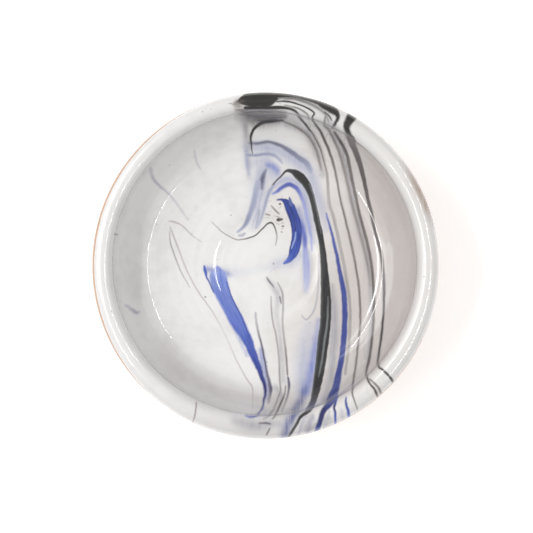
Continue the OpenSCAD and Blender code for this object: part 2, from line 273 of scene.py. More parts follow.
def fired(name, roughness, gloss):
    """A new fired clay or slip under so much clear gloss: (its material, the place on the piece)."""
    material = bpy.data.materials.new(name)
    material.use_nodes = True
    sockets = material.node_tree.nodes["Principled BSDF"].inputs
    sockets["Roughness"].default_value = roughness
    sockets["Coat Weight"].default_value = gloss
    sockets["Coat Roughness"].default_value = 0.03
    sockets["Coat IOR"].default_value = 1.5
    return material, Wire(material.node_tree).node("TexCoord", output="Object")


def covered(piece, material, colour, relief, strength, depth):
    """Puts a material on a piece, with its colour and its relief, of a strength and a depth in metres."""
    bump = colour.node("Bump", {}, {"Strength": strength, "Distance": depth, "Height": relief})
    sockets = material.node_tree.nodes["Principled BSDF"].inputs
    colour.tree.links.new(colour.socket, sockets["Base Color"])
    colour.tree.links.new(bump.socket, sockets["Normal"])
    piece.data.materials.append(material)


material, place = fired("tan_clay", 0.72, 0.0)
fine = place.grain(2600, 3)
broad = place.grain(130, 3)
iron = place.grain(900, 1).rise(0.68, 0.74)
colour = (broad * 0.6 + fine * 0.4).ramp([(0.25, shade(178, 138, 104)), (0.75, shade(208, 171, 136))])
colour = colour.coated(shade(120, 84, 60), iron * 0.55)
level = place.node("CombineXYZ", {}, {0: place.along(2) * 2600, 1: 0.3, 2: 0.7})
turned = level.grain(1.0, 2)
covered(body, material, colour, fine * 0.7 + turned * 0.8, strength=0.35, depth=0.0002)
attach(body, "root")
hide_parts("clay_body")

# Clear glaze on the outside: a thin glossy coat that turns the clay under it a warmer brown.
# It was poured round the wall, ends under the slip's edge and stops in a wavy bead above the foot.
GLAZE_T = 0.3
GLAZE_GAP = 0.03
GLAZE_LINE_H = 7.0
SLIP_EDGE = math.radians(-20)
GLAZE_EDGE = SLIP_EDGE - 0.05
WAVED_RINGS = 8
BEAD_OUT = 0.02
BEAD_DROP = 0.16
over = outside_rings(GLAZE_T, GLAZE_EDGE, GLAZE_LINE_H)
under = outside_rings(GLAZE_GAP, GLAZE_EDGE, GLAZE_LINE_H)
wave = 0.25 * np.sin(3 * turn + 1.0) + 0.18 * np.sin(7 * turn) + 0.1 * np.sin(12 * turn + 2.0)
for j in range(WAVED_RINGS):
    for rings in (over, under):
        r, z = rings[-1 - j]
        rings[-1 - j] = (r, z + wave * (1 - j / WAVED_RINGS))
bead = ((over[-1][0] + under[-1][0]) / 2 + BEAD_OUT, over[-1][1] - BEAD_DROP)
glaze = revolved("outer_glaze_coat", over + [bead] + under[::-1], looped=True)

material, place = fired("glazed_clay", 0.3, 1.0)
broad = place.grain(90, 3)
fine = place.grain(1500, 3)
iron = place.grain(800, 1).rise(0.66, 0.73)
pooled = 1 - place.along(2).rise(GLAZE_LINE_H * MM + 0.0002, GLAZE_LINE_H * MM + 0.0012)
colour = (broad * 0.7 + fine * 0.3).ramp([(0.2, shade(150, 103, 66)), (0.8, shade(188, 143, 102))])
colour = colour.coated(shade(92, 58, 38), iron * 0.6)
colour = colour.coated(shade(112, 74, 46), pooled * 0.5)
covered(glaze, material, colour, place.grain(260, 2), strength=0.2, depth=0.0002)
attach(glaze, "root")
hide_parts("outer_glaze")

# White slip: the coat of liquid clay over the inside and the lip, with its glaze fused into it.
# The other slips were trailed into it while it was wet, so their edges are soft and lie flush, and here
# they are colours of this one surface, each drawn on it by strokes.
RINGS_APART = 0.42
LOW_RINGS_APART = 2.2
EDGE_DROP = 0.12
top = inside_rings(0.0, RINGS_APART, SLIP_EDGE)
low = inside_rings(SLIP_T, LOW_RINGS_APART, SLIP_EDGE)
edge = ((top[-1][0] + low[-1][0]) / 2, (top[-1][1] + low[-1][1]) / 2 - EDGE_DROP)
slip = revolved("marbled_slip", top + [edge] + low[::-1])
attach(slip, "root")
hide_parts("white_slip", "black_vein", "rim_pool", "cobalt_hook", "blue_arch", "left_blue_vein",
            "right_blue_vein", "right_grey_veins", "lower_grey_veins", "grey_wisps", "clay_hairlines")

points = np.empty(len(slip.data.vertices) * 3)
slip.data.vertices.foreach_get("co", points)
points = points.reshape(-1, 3) / MM
plan = points[:, :2]

# The slip's map for baking: its rings laid flat round the middle, an even step apart.
# The hidden rings of its underside come last and are drawn closer together.
HIDDEN_STEP = 0.25
MAP_MARGIN = 1.02
spread = np.cumsum([RINGS_APART] * (len(top) + 1) + [HIDDEN_STEP] * (len(low) + 1))
half_sector = math.pi / SECTORS
rings = [np.column_stack([r * np.cos(turn), r * np.sin(turn)]) for r in spread[:-1]]
cap = spread[-1] * np.column_stack([np.cos(turn + half_sector), np.sin(turn + half_sector)])
flat = np.vstack(rings + [[(0, 0), (0, 0)]])
corners = np.empty(len(slip.data.loops), dtype=int)
slip.data.loops.foreach_get("vertex_index", corners)
laid = flat[corners]
laid[corners == len(flat) - 1] = cap
laid = 0.5 + laid / (2 * MAP_MARGIN * spread[-1])
slip.data.uv_layers.new(name="OFBake").data.foreach_set("uv", laid.ravel())

material, place = fired("marbled_slip", 0.35, 1.0)
across_x, across_y = (place.along(axis) * (1 / MM) for axis in range(2))
broad = place.grain(60, 3, distortion=0.6)
middle = place.grain(300, 3)
fine = place.grain(2200, 2)
warp = (place.grain(420, 2) - 0.5) * 0.9 + (fine - 0.5) * 0.25
drawn_down = place.node("CombineXYZ", {}, {0: across_x * 1.7 + warp * 0.8, 1: across_y * 0.13, 2: 2.5})
streaks = drawn_down.grain(1.0, 3, roughness=0.6)
flat_place = place.node("CombineXYZ", {}, {0: across_x, 1: across_y})
distance = flat_place.node("VectorMath", {"operation": "LENGTH"}, {0: flat_place}, "Value")
on_lip = distance.rise(DISH_R - LIP_W - 0.8, DISH_R - LIP_W + 1.2)
shaded_side = (across_x + (broad - 0.5) * 30).rise(-10, 36) * (1 - on_lip * 0.6)
colour = shaded_side.ramp([(0.0, shade(239, 238, 237)), (0.5, shade(229, 226, 223)),
                           (1.0, shade(203, 195, 191))])
cloudy = (broad * 0.6 + middle * 0.4).rise(0.42, 0.72)
colour = colour.coated(shade(213, 208, 203), cloudy * 0.45)


def smooth(points, step):
    """A smooth curve through points of (x, y, width, ink), with its points about a step apart."""
    points = np.array(points, dtype=float)
    padded = np.vstack([points[0], points, points[-1]])
    curve = []
    for before, start, end, after in zip(padded, padded[1:], padded[2:], padded[3:]):
        count = max(1, math.ceil(np.hypot(*(end - start)[:2]) / step))
        for t in np.arange(count) / count:
            curve.append(0.5 * (2 * start + (end - before) * t
                                + (2 * before - 5 * start + 4 * end - after) * t ** 2
                                + (3 * start - before - 3 * end + after) * t ** 3))
    curve.append(points[-1])
    return np.array(curve)


def store(name, kind, values):
    """Keeps values at the slip's points for its material, as the attribute of a name."""
    data = slip.data.attributes.new(name, kind, "POINT").data
    data.foreach_set("vector" if kind == "FLOAT_VECTOR" else "value", values.ravel())


CLOUD_STEP = 0.8


def wash(colour, name, strokes, tint, strength=1.0, streaky=1.0):
    """A colour with a soft cloud laid over it, along strokes of (x, y, width, strength) in millimetres
    from the middle of the dish. The grain breaks it up, and so do streaks that run down the dish."""
    cover = np.zeros(len(plan))
    for stroke in strokes:
        for x, y, width, weight in smooth(stroke, CLOUD_STEP):
            away = np.hypot(plan[:, 0] - x, plan[:, 1] - y)
            cover = np.maximum(cover, weight * np.exp(-((away / (width / 2)) ** 2)))
    store(name, "FLOAT", cover)
    cloud = place.node("Attribute", {"attribute_name": name}, output="Fac")
    broken = 0.65 + middle * 0.4 + (streaks - 0.5) * streaky
    return colour.coated(tint, cloud * broken.at_least(0.1) * strength)


# Painted shade: a soft grey cloud darkens the near wall and the near lip, as shade would, and is not a
# slip.
colour = wash(colour, "wash_wall", [
    [(-30, -25, 6, 0.3), (-23, -32, 7, 0.6), (-15, -36.6, 7, 0.75), (-6, -39, 7, 0.75),
     (3, -39.6, 7, 0.7), (12, -38, 7, 0.5), (22, -33, 7, 0.3)],
    [(-26, -39, 6, 0.2), (-16, -44.6, 6, 0.4), (-6, -47, 6, 0.7), (4, -47.4, 6, 0.6), (14, -45.4, 6, 0.4)]],
    shade(200, 194, 194), streaky=0.0)
# Painted shade: the lip is greyed a little to hold down the stronger light that falls on its top.
colour = colour.coated(shade(222, 219, 217), on_lip * 0.35)
colour = wash(colour, "wash_lavender", [
    [(-5.2, 35.2, 3.5, 0.7), (0, 34.8, 4.4, 0.8), (4, 34, 4.4, 0.8), (9, 31.4, 4.8, 0.8),
     (13, 27.4, 4.4, 0.7), (15, 22, 3.6, 0.7), (16.6, 17, 3, 0.6), (18, 11, 2.4, 0.4)],
    [(-4, 30, 4, 0.5), (0, 31, 5, 0.7), (2, 27, 5, 0.6)],
    [(-1, 29, 4, 0.7), (-1.5, 26, 5, 0.8), (-2, 21, 4.6, 0.7), (-2.6, 16, 3.8, 0.6), (-4, 12.5, 3, 0.4)],
    [(2.5, 23.5, 2, 0.7), (4.5, 24.9, 2.4, 0.9), (7, 25.6, 2.4, 0.9), (9.5, 24.3, 2.6, 0.9),
     (11.2, 21.5, 2.6, 0.9), (12.4, 17, 2.6, 0.9), (13.2, 12, 2.6, 0.8), (14, 7, 2.2, 0.6)],
    [(12.5, -18, 4, 0.3), (11.6, -25, 5, 0.6), (11.4, -31, 5.4, 0.75), (11, -36, 4.4, 0.7)],
    [(-16, -0.9, 2.4, 0.35), (-11, -2, 3, 0.35), (-6, -1.8, 3, 0.14), (0, -0.6, 3, 0.14),
     (4, 0.8, 3.4, 0.45), (7.6, 1.4, 4, 0.6), (10.4, 3.4, 3, 0.6)],
    [(11.9, 4, 2.6, 0.9), (12.1, 0, 2.8, 0.9), (12.2, -4, 2.6, 0.8), (12, -7.5, 2, 0.5)]],
    shade(174, 178, 204), strength=1.1, streaky=0.7)
colour = wash(colour, "wash_grey", [
    [(6, 41.2, 1.6, 0.5), (10, 40.2, 2.2, 0.8), (12.6, 38.6, 2.6, 0.9), (14.4, 35.6, 2.6, 0.9),
     (15.9, 31.4, 2.2, 0.8), (17, 27, 1.8, 0.5)],
    [(19.8, -6, 1.6, 0.6), (20.2, -12, 2.6, 0.9), (20.4, -20, 2.8, 0.95), (19.8, -28, 2.8, 0.95),
     (18.8, -35, 2.6, 0.8), (17, -39, 2, 0.6)],
    [(17.9, 42, 2.2, 0.5), (20.4, 38, 2.2, 0.7), (23.0, 32, 2.4, 0.8), (24.4, 26, 2.4, 0.8),
     (25.9, 19, 2.4, 0.85), (27.9, 11, 2.2, 0.85), (30.2, 2, 2, 0.9), (31.3, -8, 1.7, 0.85),
     (31.2, -18, 1.6, 0.85), (30.2, -27, 1.6, 0.8)],
    [(-6, 41, 2, 0.6), (-5.6, 37, 2, 0.6), (-5.1, 31, 1.8, 0.55), (-4.9, 26, 1.4, 0.3)],
    [(-9, -44.6, 2.6, 0.5), (-5, -45.6, 3.4, 0.75), (-2, -46, 3.4, 0.8), (1, -45.4, 3, 0.7),
     (3.6, -45.6, 2.4, 0.5)],
    [(4, 48.3, 2, 0.5), (8, 48.2, 2.2, 0.75), (12, 47, 2.6, 0.75), (16, 44.9, 2.8, 0.7),
     (18.6, 42.8, 2.2, 0.5)],
    [(13, -43.6, 2, 0.7), (12, -47.2, 2.4, 0.8), (18, -43.5, 1.8, 0.5), (17.6, -46.5, 1.8, 0.4)],
    [(3, -36, 2, 0.5), (4.6, -39, 2.4, 0.6), (3, -42, 2.6, 0.6)],
    [(0.6, -4, 1.6, 0.4), (2.4, -6.5, 2, 0.6), (3.8, -9.6, 2, 0.6), (3.2, -14, 1.6, 0.4),
     (4.2, -21, 1.6, 0.5), (4.8, -28, 1.8, 0.6), (5.1, -34, 2, 0.6)]],
    shade(164, 161, 167), strength=1.15)
colour = wash(colour, "wash_blue", [
    [(0.5, 29.8, 1.6, 0.7), (2, 29.5, 2.2, 0.9), (3.3, 28.3, 2, 0.8), (3.5, 26.8, 1.4, 0.4)],
    [(-5.8, 34, 1, 0.5), (-5.5, 30, 1.2, 0.5), (-5, 27, 1, 0.3)],
    [(15.6, -16, 1.4, 0.5), (14.9, -22, 2.2, 0.8), (14.2, -27, 2.6, 0.9), (13.2, -33, 2.8, 0.9),
     (11.8, -37, 3, 0.9)],
    [(-1.6, -25, 1.6, 0.6), (-0.8, -29, 1.8, 0.85), (0, -33, 1.6, 0.8), (0.7, -36, 1.6, 0.7),
     (0.4, -39, 1.6, 0.5)],
    [(-17.4, -1, 1.8, 0.7), (-15, -1.6, 2, 0.9), (-12.2, -2.2, 1.8, 0.8), (-10.4, -2.8, 1.4, 0.4)],
    [(-13.2, -11, 1.2, 0.5), (-10.6, -16, 1.2, 0.5), (-8, -21.4, 1.2, 0.5), (-5.6, -26.6, 1.1, 0.5)],
    [(9.6, 16.5, 2.4, 0.6), (10.9, 12, 2.6, 0.7), (11.2, 7, 2.6, 0.7)]],
    shade(118, 132, 196), strength=1.1)
colour = wash(colour, "wash_deep", [
    [(11.8, -36, 1.6, 0.5), (10.6, -39, 2.4, 0.85), (9.2, -41.5, 2.8, 1), (7.7, -43.3, 2.8, 1),
     (6.8, -45, 2.8, 1), (6, -47, 2.8, 0.9), (5.4, -49.3, 2.8, 0.8)]], shade(70, 82, 142))

# Brown hairlines: where the slips were pulled apart, a thread of the tan clay shows through the white.
# The softer ones on the left were tinged by the blue slip, and the darkest lie round the hook.
VEIN_STEP = 0.5
NO_LENGTH = 1e-6
FAR_AWAY = 1e9


def drawn(name, strokes, reach):
    """Keeps, for each point of the slip, where it lies on the nearest of some strokes: its distance to the
    side, its distance along and the half width there. The ink is a value of its own."""
    nearest = np.full(len(plan), FAR_AWAY)
    across = np.tile([0.0, 0.0, -1.0], (len(plan), 1))
    ink = np.zeros(len(plan))
    for stroke in strokes:
        line = smooth(stroke, VEIN_STEP)
        margin = line[:, 2].max() / 2 + reach
        lowest = line[:, :2].min(axis=0) - margin
        highest = line[:, :2].max(axis=0) + margin
        close = np.where(np.all((plan > lowest) & (plan < highest), axis=1))[0]
        run = 0.0
        for i, (start, end) in enumerate(zip(line, line[1:])):
            way = end[:2] - start[:2]
            length = np.hypot(*way)
            if length < NO_LENGTH:
                continue
            way = way / length
            offset = plan[close] - start[:2]
            t = offset @ way
            side = offset[:, 1] * way[0] - offset[:, 0] * way[1]
            inner = np.clip(t, 0, length)
            gap = np.hypot(t - inner, side)
            past = np.abs(t - inner)
            share = inner / length
            open_end = (i == 0) & (t < 0) | (i == len(line) - 2) & (t > length)
            half = (start[2] + (end[2] - start[2]) * share) / 2 - past * open_end
            signed = np.where(open_end, side, np.where(side < 0, -gap, gap))
            better = (gap < nearest[close]) & (gap < half + past + reach)
            rows = close[better]
            nearest[rows] = gap[better]
            across[rows] = np.column_stack([signed, run + inner, half])[better]
            ink[rows] = (start[3] + (end[3] - start[3]) * share)[better]
            run += length
    store(name, "FLOAT_VECTOR", across)
    store(name + "_ink", "FLOAT", ink)


def vein(name, strokes, soft=0.25, wavy=0.3, reach=0.75):
    """A vein of slip along strokes of (x, y, width, ink), as wires: how far to the side of its middle line
    a place lies, its half width, its mask with a soft wavy edge, its ink, and noise drawn out along it."""
    drawn(name, strokes, reach)
    across = place.node("Attribute", {"attribute_name": name}, output="Vector")
    ink = place.node("Attribute", {"attribute_name": name + "_ink"}, output="Fac")
    side, run, half = (across.along(axis) for axis in range(3))
    mask = (half - abs(side + warp * wavy)).rise(-soft, soft)
    pulled = place.node("CombineXYZ", {}, {0: side * 3.2, 1: run * 0.22, 2: 0.5}).grain(1.0, 3)
    return SimpleNamespace(side=side, half=half, mask=mask, ink=ink, pulled=pulled)


def lay(colour, slip_vein, stops, streak=0.35, strength=1.0):
    """A colour with a vein laid over it. The ink picks from the stops, and the streaks stir it."""
    tone = (slip_vein.ink + (slip_vein.pulled - 0.5) * streak).ramp(stops)
    return colour.coated(tone, slip_vein.mask * strength)


colour = lay(colour, vein("hair_brown", [
    [(-19, 7, 0.3, 0.1), (-22, 9.2, 0.4, 0.3), (-25, 12, 0.45, 0.45), (-27.5, 13.1, 0.5, 0.5),
     (-28.7, 13.2, 0.4, 0.4)],
    [(-28.4, 11.5, 0.4, 0.4), (-27.2, 8.5, 0.45, 0.5), (-25.3, 3.5, 0.4, 0.45), (-23.2, -1.8, 0.4, 0.4),
     (-20, -7.7, 0.4, 0.35), (-15.6, -14, 0.35, 0.25), (-12, -20.5, 0.3, 0.1), (-9, -27.3, 0.35, 0.2),
     (-6, -33, 0.4, 0.35), (-4, -36, 0.45, 0.4), (-3.8, -40.5, 0.4, 0.3), (-4, -42, 0.3, 0.2)],
    [(-20, -39.2, 0.4, 0.7), (-20, -40.6, 0.45, 0.9), (-20.3, -42.9, 0.4, 0.8), (-21.1, -45.2, 0.35, 0.6)]],
    wavy=0.35),
    [(0.0, shade(222, 216, 213)), (0.45, shade(196, 187, 185)), (1.0, shade(140, 128, 126))])
colour = lay(colour, vein("hair_blue", [
    [(-33.5, 28.5, 0.9, 0.5), (-33.4, 26.5, 0.9, 0.6), (-31.8, 24, 0.8, 0.7), (-28.5, 21, 0.6, 0.6),
     (-26, 18, 0.5, 0.5), (-23, 13.5, 0.5, 0.3)],
    [(-21, 34, 0.5, 0.2), (-20.5, 31, 0.6, 0.4), (-19.3, 28.5, 0.4, 0.2)],
    [(-41, -11.5, 0.6, 0.5), (-39.5, -12.8, 0.9, 0.7), (-38, -13.8, 1.0, 0.8), (-37.2, -13.5, 0.6, 0.4)]],
    soft=0.45, wavy=0.5),
    [(0.0, shade(216, 214, 216)), (0.5, shade(192, 191, 200)), (1.0, shade(158, 158, 174))], strength=0.8)
colour = lay(colour, vein("hair_inner", [
    [(-28.5, 10.5, 0.3, 0.2), (-28.2, 6.5, 0.4, 0.4), (-26.8, 2.5, 0.4, 0.4), (-25, -2, 0.35, 0.3),
     (-22.5, -6.5, 0.3, 0.1)],
    [(-16, 13, 0.3, 0.2), (-14.5, 11.5, 0.3, 0.3), (-12.5, 9.7, 0.35, 0.35), (-9, 7.9, 0.35, 0.5),
     (-7, 7.8, 0.35, 0.7), (-5.2, 8.2, 0.4, 0.9), (-3, 9, 0.4, 0.95), (-1.2, 10.8, 0.4, 1),
     (0.6, 12.5, 0.45, 1), (1.9, 12.7, 0.5, 1), (2.8, 11.2, 0.4, 0.9), (3.3, 8.8, 0.35, 0.6),
     (3, 6, 0.3, 0.3)],
    [(3.6, 13.6, 1.1, 1), (4.9, 13.8, 0.7, 0.9)],
    [(1.6, 17.8, 0.5, 0.4), (2.9, 16.4, 0.6, 0.6), (4, 15.4, 0.5, 0.5)],
    [(0, 15.4, 0.5, 0.5), (1.2, 15, 0.5, 0.6)],
    [(4.1, 18.3, 0.6, 0.9), (4.4, 18.3, 0.6, 0.9)],
    [(4.9, 11.7, 0.5, 0.8), (5.3, 11.7, 0.5, 0.8)],
    [(4.6, 10, 0.4, 0.6), (4.9, 10, 0.4, 0.6)],
    [(-43.5, 9.1, 0.5, 0.8), (-43.2, 9.1, 0.5, 0.8)],
    [(-18, -9.3, 0.5, 0.8), (-17.8, -9.3, 0.5, 0.8)]], soft=0.2),
    [(0.0, shade(214, 209, 206)), (0.45, shade(170, 163, 162)), (1.0, shade(70, 64, 64))])

# Grey wisps: a thin blue-grey slip that was drawn out at the top and to the left of the middle.
# It had little colour in it, so the white shows through and its edges are lost.
colour = lay(colour, vein("wisp_outer", [
    [(-5, 36.3, 0.6, 0.5), (-3, 36.1, 0.8, 0.8), (0.5, 36.6, 0.9, 0.85), (3.5, 35.9, 1.0, 0.85),
     (6.5, 34.4, 1.2, 0.8), (9.5, 32.3, 1.4, 0.7), (12, 30.5, 1.6, 0.55), (13.3, 28, 1.4, 0.3)],
    [(0.1, 28.6, 0.7, 0.6), (-0.8, 26.5, 1.2, 0.95), (-1, 24.4, 1.2, 0.9), (-1.1, 22.8, 0.9, 0.6)],
    [(-2, 16.5, 0.8, 0.3), (-2.6, 12.5, 0.7, 0.2), (-3, 11, 0.5, 0.1)],
    [(-8, 9, 0.4, 0.4), (-6.9, 9.1, 0.45, 0.5), (-6.2, 9.6, 0.4, 0.4)]], soft=0.45, wavy=0.7),
    [(0.0, shade(196, 198, 212)), (0.5, shade(150, 153, 178)), (1.0, shade(98, 100, 120))])
colour = lay(colour, vein("wisp_inner", [
    [(-5.4, 32.8, 0.7, 0.6), (-3.5, 32.7, 0.9, 0.65), (0, 33.1, 0.9, 0.6), (2.7, 32.6, 0.8, 0.55),
     (4.5, 31, 0.7, 0.4), (5, 30.3, 0.4, 0.3)],
    [(-2.2, 25, 1.4, 0.35), (-2.8, 22.5, 1.6, 0.4), (-3.5, 19, 1.6, 0.45), (-4.3, 16.5, 1.5, 0.5),
     (-5.6, 13, 1.2, 0.7), (-7, 11.2, 0.8, 0.7), (-8.5, 10, 0.5, 0.5)],
    [(2.6, 24.3, 0.6, 0.5), (1.1, 22, 0.9, 0.55), (0, 19, 0.9, 0.5), (-0.7, 16, 0.8, 0.45),
     (-1.9, 12.5, 0.7, 0.3), (-2.6, 11.2, 0.4, 0.2)]], soft=0.5, wavy=0.7),
    [(0.0, shade(200, 202, 216)), (0.5, shade(162, 166, 190)), (1.0, shade(116, 120, 156))])

# Grey veins of the right side: grey-brown slip that ran from the pool on the far lip right across the
# dish. They keep side by side all the way, and the two inner ones fork on the near lip.
GREY_BROWN = [(0.0, shade(196, 192, 190)), (0.3, shade(152, 145, 142)), (0.65, shade(104, 96, 94)),
              (1.0, shade(50, 42, 44))]
colour = lay(colour, vein("grey_first", [
    [(24.5, 37, 1.7, 0.75), (26.5, 33, 1.6, 0.7), (28, 29, 1.4, 0.7), (29.2, 24.5, 1.1, 0.75),
     (30.3, 19.5, 1.0, 0.75), (31.4, 15, 1.1, 0.7), (32.5, 9.5, 0.9, 0.7), (34, 4.5, 1.0, 0.75),
     (34.7, 0, 0.95, 0.8), (35, -6, 0.9, 0.85), (34.9, -12, 0.7, 0.95), (34.3, -19, 0.65, 1),
     (33.3, -25, 0.6, 1), (32.5, -29, 0.6, 0.95), (33.5, -29.8, 0.6, 1), (35.6, -31.9, 0.7, 1),
     (36.9, -33.9, 0.8, 0.8), (38, -35.6, 0.7, 0.4)],
    [(14, 41.8, 0.5, 0.9), (16, 39.4, 0.7, 0.85), (18, 35.5, 0.8, 0.7), (19.4, 32, 0.75, 0.6),
     (20.8, 27, 0.7, 0.5), (21.9, 21, 0.65, 0.45), (23.3, 15, 0.65, 0.5), (25, 8, 0.7, 0.5),
     (26.5, 1, 0.7, 0.5), (27.7, -7, 0.7, 0.5), (28.1, -16, 0.7, 0.5), (27.6, -21, 0.65, 0.5),
     (26.6, -29, 0.6, 0.5), (25.4, -34.5, 0.55, 0.55), (24.9, -36.5, 0.5, 0.6), (25.4, -38.5, 0.45, 0.5),
     (26.4, -41.5, 0.35, 0.3)],
    [(5, 42.3, 0.4, 0.5), (9, 40.7, 0.6, 0.45), (12.5, 38.2, 0.6, 0.45), (14.8, 34.5, 0.6, 0.45),
     (16.1, 30, 0.6, 0.35), (16.6, 28, 0.4, 0.2)]], soft=0.26), GREY_BROWN)
colour = lay(colour, vein("grey_second", [
    [(20, 39, 0.6, 0.9), (22, 36.2, 0.8, 0.75), (23.8, 33, 0.9, 0.65), (24.8, 29, 0.9, 0.6),
     (26.2, 22.5, 0.9, 0.6), (27.9, 15, 0.9, 0.6), (29.9, 7.5, 0.9, 0.6), (31.4, 0, 0.9, 0.62),
     (32, -8, 0.85, 0.65), (31.9, -16, 0.8, 0.65), (31.3, -22, 0.75, 0.68), (30.5, -27, 0.7, 0.7),
     (29.5, -30.5, 0.6, 0.8), (29.2, -32.3, 0.55, 0.85), (30, -34, 0.6, 0.9), (31.2, -35.5, 0.7, 0.8),
     (32.2, -37.6, 0.8, 0.5)],
    [(13.4, 39.4, 0.5, 0.6), (15, 36.8, 0.5, 0.6), (16.4, 33.8, 0.5, 0.5), (17.5, 30, 0.5, 0.45),
     (18.2, 26.8, 0.7, 0.25), (18.8, 19, 1.0, 0.12), (20.2, 14, 1.0, 0.15), (21.8, 7, 1.0, 0.15),
     (23.6, -2, 1.0, 0.18), (25, -12, 0.9, 0.2), (24.9, -20, 0.9, 0.2), (24.3, -26, 0.8, 0.2),
     (23.4, -32, 0.7, 0.15)]], soft=0.26), GREY_BROWN)
colour = lay(colour, vein("grey_third", [
    [(17.2, 43, 0.4, 0.6), (17, 41, 0.5, 0.6), (18.5, 39.5, 0.6, 0.6), (20.5, 36, 0.7, 0.5),
     (22, 32.5, 0.8, 0.42), (23.7, 26.5, 0.8, 0.38), (25.2, 20, 0.8, 0.36), (27, 13, 0.8, 0.36),
     (28.8, 6.5, 0.8, 0.36), (30.3, 0, 0.7, 0.33), (31, -6, 0.5, 0.2)],
    [(29.8, -32.6, 0.4, 0.7), (31, -33.6, 0.5, 0.8), (32.3, -35, 0.6, 0.7), (33.4, -37.2, 0.7, 0.4)]],
    soft=0.4), GREY_BROWN)

# Grey veins of the near side: hair-thin threads of grey slip between the left blue vein and the black
# one. They were combed together where they cross the near lip, and some took up the blue.
colour = lay(colour, vein("low_first", [
    [(1.6, -9, 0.35, 0.3), (1.7, -13, 0.4, 0.4), (2.2, -17, 0.4, 0.45), (3.1, -21, 0.45, 0.45),
     (3.9, -27, 0.45, 0.45), (4.1, -33, 0.5, 0.5), (4.3, -37, 0.45, 0.5), (3.2, -40, 0.45, 0.5),
     (1.9, -42.6, 0.45, 0.5), (-0.8, -44.2, 0.4, 0.3)],
    [(4.2, -9.2, 0.4, 0.8), (4.6, -11.2, 0.4, 0.7)],
    [(0.3, -3.5, 0.4, 0.6), (1, -4.6, 0.5, 0.7), (1.8, -5.6, 0.45, 0.65), (2.4, -6.5, 0.3, 0.5)],
    [(-2, -45.3, 0.5, 0.6), (0, -45.2, 0.6, 0.75), (1.5, -45.5, 0.5, 0.7)],
    [(1.3, -46.6, 0.4, 0.8), (0.6, -47.8, 0.4, 0.8), (0.2, -48.6, 0.4, 0.7)]]),
    [(0.0, shade(206, 204, 210)), (0.4, shade(172, 164, 165)), (0.7, shade(124, 116, 124)),
     (1.0, shade(62, 60, 92))])
colour = lay(colour, vein("low_navy", [
    [(-3, -14, 0.7, 0.15), (-2.5, -18.5, 0.7, 0.25), (-1.3, -23, 0.55, 0.8), (-0.6, -26.5, 0.55, 0.95),
     (-0.1, -29, 0.6, 0.9), (0.35, -31.7, 0.7, 0.75), (1.1, -34.8, 1.0, 0.75), (1.5, -36.5, 1.1, 0.8),
     (1.2, -38.5, 0.8, 0.55), (0.7, -40.5, 0.6, 0.3)],
    [(6.6, -33, 0.6, 0.8), (6.9, -35, 0.75, 0.85), (6.7, -37.2, 0.6, 0.6), (5.9, -40, 0.5, 0.45),
     (4.6, -42.6, 0.4, 0.4)]], soft=0.3, wavy=0.4),
    [(0.0, shade(206, 204, 210)), (0.4, shade(166, 158, 162)), (0.7, shade(116, 110, 124)),
     (1.0, shade(52, 54, 96))])
colour = lay(colour, vein("low_second", [
    [(3.5, -5, 0.5, 0.3), (4.9, -8, 0.6, 0.4), (5.2, -12, 0.55, 0.35), (5, -17, 0.55, 0.35),
     (5.6, -22.5, 0.6, 0.45), (6, -26, 0.6, 0.6), (6.3, -30, 0.55, 0.65), (6.5, -32.5, 0.5, 0.7)],
    [(5.9, -35.5, 0.5, 0.5), (5.5, -38, 0.5, 0.6), (4.5, -40.3, 0.55, 0.85), (3.2, -42.7, 0.5, 0.9),
     (1.9, -44.1, 0.4, 0.6)]]),
    [(0.0, shade(206, 204, 206)), (0.4, shade(176, 170, 170)), (0.7, shade(126, 118, 120)),
     (1.0, shade(60, 48, 52))])

# Left blue vein: cobalt slip, thin and grainy where it was poured, that narrows and darkens down to the
# near lip. A thread of the same slip runs along each of its edges.
BLUES = [(0.0, shade(160, 174, 226)), (0.25, shade(110, 130, 206)), (0.5, shade(72, 94, 182)),
         (0.75, shade(46, 66, 152)), (1.0, shade(34, 38, 104))]
colour = lay(colour, vein("blue_left", [
    [(-14.2, -2.2, 4.6, 0.12), (-14, -4, 5.2, 0.2), (-13.6, -6, 5.0, 0.24), (-12.9, -8, 4.5, 0.28),
     (-12, -10, 4.2, 0.3), (-11, -12, 4.1, 0.3), (-9.9, -14, 4.2, 0.3), (-8.8, -16, 4.3, 0.32),
     (-7.6, -18, 3.9, 0.36), (-6.5, -20, 3.4, 0.42), (-5.5, -22, 3.1, 0.5), (-4.6, -24, 2.7, 0.55),
     (-3.8, -26, 2.4, 0.6), (-3, -28, 2.2, 0.66), (-2.2, -30, 1.9, 0.74), (-1.5, -32, 1.6, 0.84),
     (-0.8, -34, 1.35, 0.94), (-0.2, -36, 1.05, 1), (-0.1, -38, 0.8, 1), (-0.6, -40, 0.6, 0.95),
     (-1.2, -42, 0.5, 0.85), (-2.5, -43.3, 0.5, 0.7), (-4, -43.5, 0.5, 0.6), (-6, -43.2, 0.3, 0.3)]],
    soft=0.4, wavy=0.8, reach=1.6), BLUES, streak=0.55)
colour = lay(colour, vein("blue_left_edges", [
    [(-18.2, 0, 0.5, 0.4), (-18, -1.2, 0.9, 0.5), (-17.7, -2.2, 0.9, 0.5), (-17.5, -3.3, 0.6, 0.5),
     (-16.7, -5, 0.4, 0.6), (-16, -6.6, 0.4, 0.6), (-15.3, -8, 0.3, 0.5)],
    [(-11.6, -4.6, 0.3, 0.5), (-10.8, -7.2, 0.35, 0.6), (-9.9, -9.8, 0.4, 0.65), (-8.8, -12, 0.4, 0.65),
     (-7.6, -14.4, 0.4, 0.65), (-6.6, -16.6, 0.4, 0.65), (-5.6, -19, 0.35, 0.7), (-4.6, -21.4, 0.3, 0.7)]],
    wavy=0.4), BLUES)

